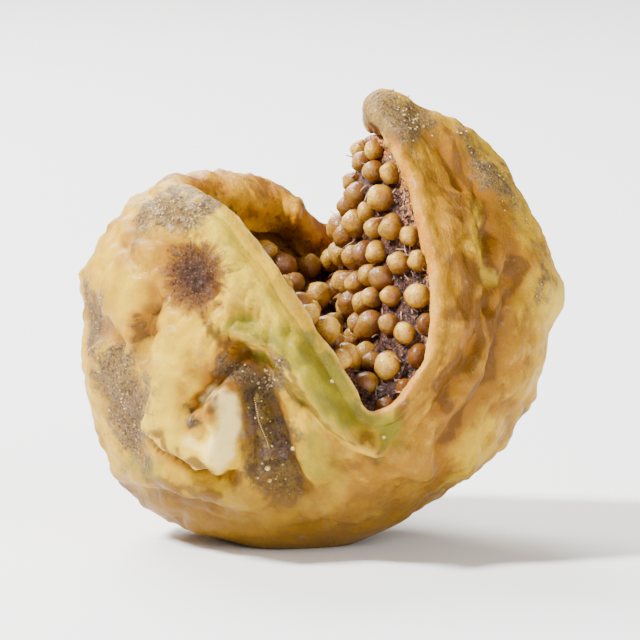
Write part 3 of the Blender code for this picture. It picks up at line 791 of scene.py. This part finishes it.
plain_skin = skin.blend(YELLOW, BRIGHT_YELLOW, broad.between(0.42, 0.60) * 0.7).under((
    (OCHRE, patchy.between(0.46, 0.64) * 0.8),
    # The gold is the right lobe's own tone and, on its lower right, partly painted shade.
    (GOLD, gold * 0.9),
    (LIGHT_GOLD, gold * mottle.between(0.50, 0.66) * 0.6),
    (DARK_GOLD, gold * patchy.between(0.48, 0.60) * 0.8),
    (FIBRE_BROWN, fibre.between(0.50, 0.66) * (0.3 + gold * 0.45)),
    (PALE_THREAD, thread.between(0.56, 0.74) * 0.35),
    # Painted light from the relief: ridges are painted lighter as a painted highlight, and creases
    # darker as painted shade.
    (RIDGE_HIGHLIGHT, (crease * -1).between(0.20, 1.1) * 0.5),
    (CREASE_SHADE, crease.between(0.05, 0.6) * 0.85),
    (DEEP_CREASE_SHADE, crease.between(0.6, 1.5) * 0.8),
))
stained_and_shaded_skin = plain_skin.under((
    # The orange is partly the skin's own orange streaks and partly painted shade along the creases.
    (ORANGE, skin.ragged("orange", fibre, 0.9, 0.4) * 0.8),
    # Painted shade: dark lines along the creases.
    (GROOVE_SHADE, groove_shade_mask * 0.8),
    (CREAM, skin.ragged("cream", mottle, 0.9, 0.4) * 0.75),
    (WHITE, skin.ragged("white", mottle, 0.7, 0.4) * 0.9),
    (GREEN, skin.ragged("green", mottle, 0.8, 0.4) * 0.85),
    (DARK_GREEN, skin.ragged("dark_green", mottle, 1.2, 0.4) * 0.75),
    (OLIVE_BROWN, browned * 0.85),
    (DARK_BROWN, browned * mottle.between(0.42, 0.58) * 0.9),
    (LILAC, browned * patchy.between(0.52, 0.62) * 0.6),
    (BLACK_BROWN, browned * speckle.between(0.50, 0.62) * 0.7),
    (SUGAR_GRAIN, browned * sparks * 0.35),
    # Painted shade: the skin is painted darker towards the bottom.
    (PAINTED_UNDERSIDE_SHADE, below * 0.85),
))
pitted_skin = stained_and_shaded_skin.under((
    (PIT_EDGE, pit * 0.8),
    (PIT_MAUVE, pit * (0.35 + pit_core * 0.65)),
    (PIT_PINK, pit_core * grain.between(0.52, 0.62) * 0.7),
    (PIT_BLACK, pit * speckle.between(0.52, 0.64) * 0.85),
    (PIT_CRUMB, pit * crumbs * 0.5),
    (MOULD, mouldy * 0.85),
    (DARK_MOULD, mouldy * speckle.between(0.46, 0.58) * 0.85),
    (MOULD_CRUMB, mouldy * crumbs * 0.6),
))
rim_tone = skin.blend(RIM_CREAM, RIM_GOLD, gold).under((
    (RIM_ORANGE, mottle.between(0.46, 0.62) * 0.7),
    (RIM_PINK, speckle.between(0.54, 0.68) * 0.4),
))
roll_tone = skin.blend(ROLL_GOLD, ROLL_ORANGE, patchy.between(0.46, 0.60))
roll_tone = roll_tone.under(((ROLL_MAUVE, mottle.between(0.54, 0.66) * 0.7),))
skin_tone = pitted_skin.under((
    (rim_tone, turned.between(0.22, 0.50) * (1 - mouldy * 0.8)),
    (RIM_FLECK, skin.ragged("bleached", mottle, 1.4, 0.4) * 0.6),
    (skin.blend(FLESH, DARK_FLESH, mottle.between(0.40, 0.62)), turned.between(0.7, 1.0)),
    (roll_tone, skin.kept("roll")),
))
dullness = 0.36 + 0.22 * mottle + 0.25 * mouldy + 0.2 * pit - 0.08 * skin.kept("green")
bumps = 0.20 * fibre + 0.34 * mottle + 0.12 * thread + 0.12 * speckle + 0.05 * grain
bumps = bumps + 0.25 * (pit + mouldy + browned) * (speckle + crumbs * 0.3 + sparks * 0.3)
finish_shader(skin, skin_shader, skin_tone, dullness, bumps, SKIN_BUMP)
wall_skin = as_piece(wall_mesh, dried_skin)
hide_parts("wall")

# The crystals
# Sugar that has dried out of the fruit as it hung: grains on the mouldy and browned patches, and a
# few clear drops, with a plant hair that stuck in the fold.
GRAINS = 380
GRAIN_RADIUS = (0.05, 0.11)
GRAIN_JITTER = 0.1
GRAIN_SQUASH, DROP_SQUASH = 0.8, 0.9
GRAINS_ON_BROWN = 0.6
DROPS = (
    (-3.0, 5.0, 0.24),
    (-2.9, 4.2, 0.18),
    (1.9, 11.4, 0.16),
    (-1.3, 6.4, 0.20),
    (4.6, 7.2, 0.16),
)
HAIR = ((-3.9, 9.7), (-3.6, 8.2), (-3.1, 6.8), (-2.7, 5.7))
HAIR_RADIUS = 0.05
HAIR_BEADS = 12
DROP_LIFT, HAIR_LIFT = 0.1 * TOWARD_CAMERA, 0.12 * TOWARD_CAMERA
SUGAR_FINISH = {
    "Subsurface Weight": 0.3,
    "Subsurface Scale": 0.2 * MM,
    "Coat Weight": 0.2,
}
SUGAR_BUMP = 0.04
SUGAR, BROWN_SUGAR = (0.62, 0.47, 0.24), (0.36, 0.22, 0.05)

draw = random.Random(12)
bm = bmesh.new()
outer_spots = in_front_view(outer_points)
outer_facing = facing[:len(outer_points)]


def jitter(draw, reach):
    return [draw.uniform(-reach, reach) for _ in range(3)]


def bead(spot, radius, squash):
    made = bmesh.ops.create_icosphere(bm, subdivisions=1, radius=MM * radius)
    for vert in made["verts"]:
        vert.co = Vector((vert.co.x, vert.co.y, vert.co.z * squash)) + MM * Vector(spot - MIDDLE)


def on_skin(x, height):
    """The point of the wall's outside that shows at this place in the front view."""
    miss = np.linalg.norm(outer_spots - (x, height), axis=-1)
    miss[outer_facing < 0.5] = np.inf
    return outer_points[np.unravel_index(miss.argmin(), miss.shape)]


mould, brown = (marked[stain_or_shade][:len(outer_points)] for stain_or_shade in ("mould", "brown"))
patches = np.maximum(mould, GRAINS_ON_BROWN * brown)
for cell in draw.choices(range(patches.size), weights=(patches**3).ravel(), k=GRAINS):
    spot = outer_points.reshape(-1, 3)[cell] + jitter(draw, GRAIN_JITTER)
    bead(spot, draw.uniform(*GRAIN_RADIUS), GRAIN_SQUASH)
for x, height, radius in DROPS:
    bead(on_skin(x, height) + DROP_LIFT, radius, DROP_SQUASH)
hair_path = [on_skin(*spot) for spot in HAIR]
for start, end in zip(hair_path[:-1], hair_path[1:]):
    for share in np.linspace(0, 1, HAIR_BEADS):
        bead(start + share * (end - start) + HAIR_LIFT, HAIR_RADIUS, 1)
crystal_mesh = bpy.data.meshes.new("crystals")
bm.to_mesh(crystal_mesh)
bm.free()
crystal_mesh.shade_smooth()

dried_sugar, sugar_shader, sugar, sugar_at = new_material("dried_sugar", SUGAR_FINISH)
sugar_tone = sugar.blend(SUGAR, BROWN_SUGAR, sugar.cloud(sugar_at, 3.0))
sugar_dullness = 0.25 + 0.3 * sugar.cloud(sugar_at, 8.0)
sugar_bumps = sugar.cloud(sugar_at, 12.0)
finish_shader(sugar, sugar_shader, sugar_tone, sugar_dullness, sugar_bumps, SUGAR_BUMP)
as_piece(crystal_mesh, dried_sugar)

# The pulp
# The flesh inside the wall: a moist, dark red mass of the small flowers that a fig is made of. It
# shrank from the wall as it dried, and heaps up in the faces of the split round the seeds.
GAP = 0.3
SHRINKAGE = 0.4
PULP_MEETS_EDGE = (0.9, 1.4)
FLOOR_FRONT = np.array((4.0, -8.8, 10.9))
FLOOR_BACK = np.array((1.6, 7.0, 16.4))
FLOOR_HALF_WIDTH = 0.9
FLOOR_WIDENS_OVER = 1.0
SPLIT_MIDDLE = np.array((2.0, -1.0, 24.0))
PULP_HEAP = 0.6
PULP_EDGE = 0.7
FACE_LINES = 264


def pulp_radius(lines):
    """The pulp's outer radius at any height of these meridians."""
    return lambda height: (
        lines.inner_radius(height) - GAP - SHRINKAGE * (1 - ease(height, *PULP_MEETS_EDGE))
    )


def pulp_face(lines, share):
    """Rows on the faces of the split: share 0 is the pulp's edge and 1 is the split's floor."""
    edge = lines.turned_edge(lines.pulp_depth, PULP_EDGE, pulp_radius(lines), np.ones(1))[0]
    front, back = lines.rim[:, 1].min(), lines.rim[:, 1].max()
    run = ((lines.rim[:, 1:2] - front) / (back - front)).clip(0, 1)
    floor = FLOOR_FRONT + run * (FLOOR_BACK - FLOOR_FRONT)
    side = lines.rim - floor
    side[:, 1:] = 0
    side = np.sign(side) * np.sqrt(np.abs(side) / (FLOOR_WIDENS_OVER + np.abs(side)))
    floor = floor + FLOOR_HALF_WIDTH * side * 4 * run * (1 - run)
    slope = floor - edge
    along = np.roll(edge, -1, axis=0) - np.roll(edge, 1, axis=0)
    across = unit(np.cross(along, slope))
    across *= np.sign(np.sum(across * (SPLIT_MIDDLE - edge), axis=1, keepdims=True))
    share = share[:, None, None]
    return edge + share * slope + PULP_HEAP * np.sin(math.pi * share) * across


def outward(faces):
    """The way out of the split's faces at each of their points, and the area that it has."""
    down = np.gradient(faces, axis=0)
    along = np.roll(faces, -1, axis=1) - np.roll(faces, 1, axis=1)
    square = np.cross(along, down)
    out = unit(square)
    out *= np.sign(np.sum(out * (SPLIT_MIDDLE - faces), axis=2, keepdims=True))
    return out, np.linalg.norm(square, axis=2)


OUTSIDE_OF_PULP, EDGE_OF_PULP, FACE_OF_PULP, FLOOR_OF_PULP = 24, 6, 90, 8
PULP_CLOTS = ((0.9, 0.30), (2.6, 0.16))
CLOTS_GROW_OVER = (-1, 8)
EDGE_ROWS = 14
pulp_lines = Meridians(FACE_LINES)
pulp_top = pulp_lines.height_of(pulp_lines.pulp_depth + PULP_EDGE / 2)
pulp_outside = pulp_top * np.linspace(0, 1, OUTSIDE_OF_PULP + 1)[1:-1, None, None]
pulp_turns = np.linspace(0, 1, EDGE_OF_PULP + 1)[:-1]
face_points = pulp_face(pulp_lines, np.linspace(0, 1, FACE_OF_PULP))
floor_middle = (FLOOR_FRONT + FLOOR_BACK) / 2
floor_share = np.linspace(0, 1, FLOOR_OF_PULP + 1)[1:-1, None, None]
floor_points = face_points[-1:] + floor_share * (floor_middle - face_points[-1:])
face_points = np.concatenate([face_points, floor_points])
face_out, _ = outward(face_points)
face_row = np.arange(len(face_points))[:, None]
clots = sum(reach * rough(pitch * face_points) for pitch, reach in PULP_CLOTS)
clots = ease(face_row, *CLOTS_GROW_OVER) * clots
face_points = face_points + clots[..., None] * face_out
pulp_points = np.concatenate([
    pulp_lines.points(pulp_radius(pulp_lines), pulp_outside),
    pulp_lines.turned_edge(pulp_lines.pulp_depth, PULP_EDGE, pulp_radius(pulp_lines), pulp_turns),
    face_points,
])
pulp_mesh = closed_mesh("pulp_flesh", pulp_points, foot_top - GAP * FOOT, floor_middle)
rows_outside = np.ones((len(pulp_points) - len(face_points), FACE_LINES))
near_edge = 1 - np.clip(face_row / EDGE_ROWS, 0, 1) + np.zeros((1, FACE_LINES))
note(pulp_mesh, "at_edge", np.concatenate([rows_outside, near_edge]))

PULP_FINISH = {
    "Subsurface Weight": 0.08,
    "Subsurface Radius": (1.0, 0.30, 0.12),
    "Subsurface Scale": 0.8 * MM,
    "Specular IOR Level": 0.3,
}
PULP_BUMP = 0.35
BLACK_RED, DARK_RED, RED_BROWN = (0.019, 0.006, 0.004), (0.057, 0.016, 0.009), (0.145, 0.057, 0.016)
PINK_FLECK, EDGE_ORANGE = (0.85, 0.348, 0.177), (0.528, 0.206, 0.039)
seedy_pulp, pulp_shader, pulp, pulp_at = new_material("seedy_pulp", PULP_FINISH)
coarse = pulp.cloud(pulp_at, 0.7, 3.0)
clotted = pulp.cloud(pulp_at, 2.4, 4.0, 0.6)
flecks = pulp.cloud(pulp_at, 6.0, 2.0, 0.6)
at_edge = pulp.kept("at_edge")
pulp_tone = pulp.blend(BLACK_RED, DARK_RED, clotted.between(0.44, 0.62)).under((
    (RED_BROWN, coarse.between(0.52, 0.66) * clotted.between(0.44, 0.56) * 0.7),
    (PINK_FLECK, flecks.between(0.56, 0.64) * (0.2 + 0.8 * at_edge)),
    (EDGE_ORANGE, at_edge.between(0.45, 1.0) * clotted.between(0.40, 0.58) * 0.8),
))
pulp_bumps = clotted + 0.4 * flecks
finish_shader(pulp, pulp_shader, pulp_tone, 0.28 + 0.3 * clotted, pulp_bumps, PULP_BUMP)
pulp_flesh = as_piece(pulp_mesh, seedy_pulp)
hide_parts("seed_pulp")

# The seeds
# Each is a small hard seed in a glossy, honey-coloured case, round at its free end and drawn in to a
# neck where it is rooted in the pulp. Its top is painted lighter, as a painted highlight, and its root
# and the seeds that lie deeper in the split are painted darker, as painted shade; the darkness of each
# seed also varies at random.
SEED_RADIUS = (0.74, 1.08)
SEED_LENGTH = 1.15
SEED_SPACING = 0.97
SEED_TRIES = 9000
SEED_PROUD = 0.2
SEED_STEPS = 41
SEED_RINGS, SEED_SIDES = 14, 22
SEED_NECK = 0.42
SEED_LEAN = 0.45
SEED_SQUASH = (0.9, 1.05)
SEED_LUMPS = ((1.3, 0.14), (3.5, 0.05))
LUMPS_ANYWHERE = 9
DEEP_IN_SPLIT = (2.2, 6.0)
DEEP_DARKNESS, DARKER = 0.42, (-0.1, 0.35)
SEED_FINISH = {
    "Subsurface Weight": 0.08,
    "Subsurface Radius": (1.0, 0.45, 0.15),
    "Subsurface Scale": 0.7 * MM,
    "Specular IOR Level": 0.3,
    "Coat Weight": 0.15,
    "Coat Roughness": 0.18,
}
SEED_BUMP = 0.16
# The seed-top colour is a painted highlight; the root and deep colours are painted shade.
HONEY, LIGHT_HONEY, SEED_TOP_HIGHLIGHT = (0.42, 0.18, 0.006), (0.62, 0.33, 0.02), (0.80, 0.54, 0.12)
ROOT_SHADE, DEEP_SPLIT_SHADE, PORE_BROWN = (0.14, 0.04, 0.006), (0.13, 0.035, 0.008), (0.144, 0.052, 0.012)


def seed_places(near_wall):
    """Where seeds lie on the faces of the split, drawn by area and kept apart, as in the solid."""
    draw = random.Random(4)
    faces = pulp_face(Meridians(FACE_LINES), np.linspace(0, 1, SEED_STEPS))
    out, areas = outward(faces)
    places = []
    for cell in draw.choices(range(areas.size), weights=areas.ravel(), k=SEED_TRIES):
        row, column = divmod(cell, FACE_LINES)
        radius = draw.uniform(*SEED_RADIUS)
        spot = faces[row, column] + SEED_PROUD * out[row, column]
        room = near_wall.find_nearest(MM * Vector(spot - MIDDLE))[3] / MM - GAP
        radius = min(radius, room / SEED_LENGTH)
        if radius < SEED_RADIUS[0]:
            continue
        if all(np.linalg.norm(spot - p) > SEED_SPACING * (radius + r) for p, r, _ in places):
            places.append((spot, radius, out[row, column]))
    return places


def seed_profile(share):
    """The half width and the height of a seed, from its root at 0 to its top at 1."""
    angle = math.pi * share
    neck = 1 - SEED_NECK * (1 - share) ** 3
    return math.sin(angle) * neck, -math.cos(angle) * SEED_LENGTH


def join_rings(bm, rings):
    """Faces between rings that follow each other, where the first or last may be one point."""
    for low, high in zip(rings[:-1], rings[1:]):
        sides = max(len(low), len(high))
        for side in range(sides):
            after = (side + 1) % sides
            if len(low) == 1:
                bm.faces.new((low[0], high[after], high[side]))
            elif len(high) == 1:
                bm.faces.new((low[side], low[after], high[0]))
            else:
                bm.faces.new((low[side], low[after], high[after], high[side]))


wall_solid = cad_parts["wall"].data
near_wall = BVHTree.FromPolygons(
    [vert.co for vert in wall_solid.vertices],
    [tuple(face.vertices) for face in wall_solid.polygons],
)
seeds = seed_places(near_wall)
draw = random.Random(9)
seed_mesh = bpy.data.meshes.new("seeds")
bm = bmesh.new()
split_shade_and_tone = bm.verts.layers.float.new("split_shade_and_tone")
rise = bm.verts.layers.float.new("rise")
for spot, radius, out in seeds:
    lean = Vector(jitter(draw, 1)) * SEED_LEAN
    turn = (Vector(out) + lean).to_track_quat("Z", "X").to_matrix()
    # A seed deeper in the split gets more painted shade, plus a random change of tone.
    from_edge = np.linalg.norm(wall_lines.rim - spot, axis=1).min()
    darkness = DEEP_DARKNESS * float(ease(from_edge, *DEEP_IN_SPLIT)) + draw.uniform(*DARKER)
    squash = draw.uniform(*SEED_SQUASH)
    bulge = Vector(jitter(draw, LUMPS_ANYWHERE))
    rings = []
    for ring in range(SEED_RINGS + 1):
        share = ring / SEED_RINGS
        half_width, height = seed_profile(share)
        row = []
        for side in range(SEED_SIDES if 0 < ring < SEED_RINGS else 1):
            angle = 2 * math.pi * side / SEED_SIDES
            x, y = math.cos(angle) * half_width, math.sin(angle) * half_width * squash
            place = Vector((x, y, height))
            place *= sum((reach * noise.noise(pitch * place + bulge) for pitch, reach in SEED_LUMPS), 1)
            vert = bm.verts.new(MM * (turn @ (radius * place) + Vector(spot - MIDDLE)))
            vert[split_shade_and_tone], vert[rise] = darkness, share
            row.append(vert)
        rings.append(row)
    join_rings(bm, rings)
bmesh.ops.recalc_face_normals(bm, faces=bm.faces)
bm.to_mesh(seed_mesh)
bm.free()
seed_mesh.shade_smooth()

seed_case, seed_shader, seed, seed_at = new_material("seed_case", SEED_FINISH)
blotch = seed.cloud(seed_at, 1.4, 3.0)
pores = seed.cloud(seed_at, 7.0, 2.0, 0.6)
up_seed = seed.kept("rise")
# Painted light on the seeds: lighter tops as painted highlight, and darker roots and darker seeds deep
# in the split as painted shade.
seed_tone = seed.blend(HONEY, LIGHT_HONEY, blotch.between(0.40, 0.58)).under((
    (SEED_TOP_HIGHLIGHT, up_seed.between(0.60, 1.0) * 0.5),
    (ROOT_SHADE, (1 - up_seed.between(0.35, 0.85)) * 0.9),
    (DEEP_SPLIT_SHADE, seed.kept("split_shade_and_tone").between(0.20, 0.85) * 0.9),
    (PORE_BROWN, pores.between(0.52, 0.64) * 0.5),
))
seed_bumps = 0.6 * blotch + 0.4 * pores
finish_shader(seed, seed_shader, seed_tone, 0.24 + 0.2 * blotch, seed_bumps, SEED_BUMP)
as_piece(seed_mesh, seed_case)

# The stalklets
# Each seed grew on a thin stalk of its own from the wall's flesh. Where seeds have shed, their dry
# stalks stand between the others, palest close under the edge of the right lobe.
STALKLETS = 300
STALKLET_LENGTH = (0.5, 1.2)
STALKLET_RADIUS = (0.05, 0.10)
STALKLET_RINGS, STALKLET_SIDES = 5, 6
STALKLET_OUT, STALKLET_BEND, STALKLET_TAPER = 0.3, 0.3, 0.6
STALKLETS_DEEP, STALKLETS_THIN_OUT = 0.25, 6
PALE_TOWARD_RIGHT, PALENESS = (1.0, 6.0), (0.5, 1.0)
STALKLET_BUMP = 0.05
STALK_BROWN, STALK_PALE, STALK_RED = (0.073, 0.024, 0.012), (0.72, 0.48, 0.34), (0.144, 0.045, 0.022)

draw = random.Random(21)
stalklet_mesh = bpy.data.meshes.new("stalklets")
bm = bmesh.new()
pale = bm.verts.layers.float.new("pale")
_, face_areas = outward(face_points)
likely = face_areas * (STALKLETS_DEEP + np.exp(-face_row / len(face_points) * STALKLETS_THIN_OUT))
for cell in draw.choices(range(likely.size), weights=likely.ravel(), k=STALKLETS):
    row, column = divmod(cell, FACE_LINES)
    spot, out = face_points[row, column], Vector(face_out[row, column])
    way = (out * STALKLET_OUT + Vector(jitter(draw, 1))).normalized()
    bend = Vector(jitter(draw, STALKLET_BEND))
    length, radius = draw.uniform(*STALKLET_LENGTH), draw.uniform(*STALKLET_RADIUS)
    turn = way.to_track_quat("Z", "X").to_matrix()
    shade = float(ease(spot[0], *PALE_TOWARD_RIGHT)) * draw.uniform(*PALENESS)
    rings = []
    for ring in range(STALKLET_RINGS):
        share = ring / (STALKLET_RINGS - 1)
        middle = Vector(spot - MIDDLE) + length * share * (way + bend * share)
        half_width = radius * (1 - STALKLET_TAPER * share)
        row = []
        for side in range(STALKLET_SIDES):
            angle = 2 * math.pi * side / STALKLET_SIDES
            place = Vector((half_width * math.cos(angle), half_width * math.sin(angle), 0))
            vert = bm.verts.new(MM * (middle + turn @ place))
            vert[pale] = shade
            row.append(vert)
        rings.append(row)
    join_rings(bm, rings)
    bm.faces.new(rings[0][::-1])
    bm.faces.new(rings[-1])
bm.to_mesh(stalklet_mesh)
bm.free()
stalklet_mesh.shade_smooth()

stalk_flesh, stalk_shader, stalk, stalk_at = new_material("stalk_flesh", {"Specular IOR Level": 0.3})
dry = stalk.cloud(stalk_at, 3.0)
stalk_tone = stalk.blend(STALK_BROWN, STALK_PALE, stalk.kept("pale"))
stalk_tone = stalk_tone.under(((STALK_RED, dry.between(0.45, 0.60) * 0.6),))
finish_shader(stalk, stalk_shader, stalk_tone, 0.35 + 0.2 * dry, dry, STALKLET_BUMP)
as_piece(stalklet_mesh, stalk_flesh)
